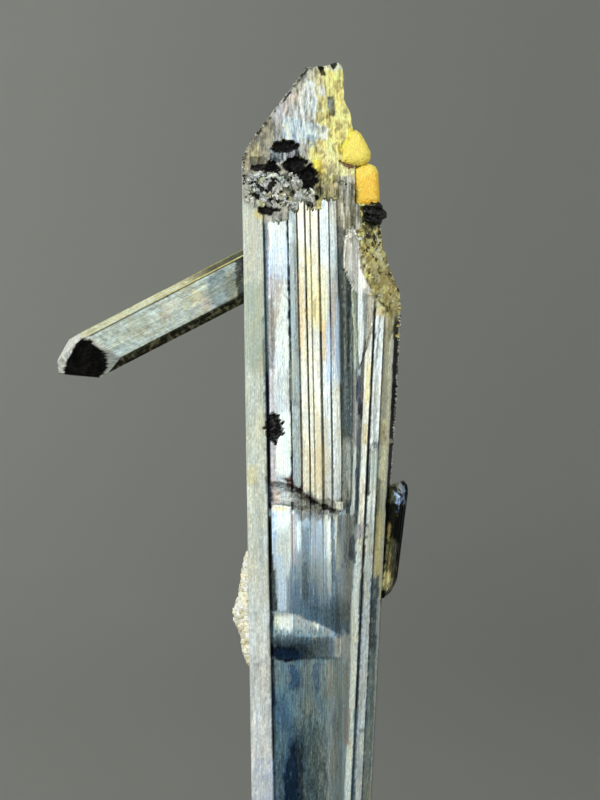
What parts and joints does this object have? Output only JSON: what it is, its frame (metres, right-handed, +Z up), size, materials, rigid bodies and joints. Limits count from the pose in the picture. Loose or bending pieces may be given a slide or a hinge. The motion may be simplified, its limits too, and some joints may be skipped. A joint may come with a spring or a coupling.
{
  "type": "stibnite crystal",
  "caption": "Slender ridged metallic stibnite crystal with a pitted slanting tip, side crystals, ochre alteration blocks and a pale grain crust, standing on a flat cut base.",
  "frame": {"origin": "centre of the flat cut at the crystal's base", "axes": "+Z up along the long crystal, -Y towards the broad ridged face, +X towards the bladed right edge"},
  "size_m": [0.0356, 0.0124, 0.082],
  "materials": {
    "stibnite": "gloss",
    "stibiconite": "matte",
    "pale_crust": "matte"
  },
  "bodies": {
    "root": {"stibnite_crystals": "stibnite", "ochre_block_upper": "stibiconite", "ochre_block_lower": "stibiconite", "pale_crust": "pale_crust"}
  },
  "joints": []
}
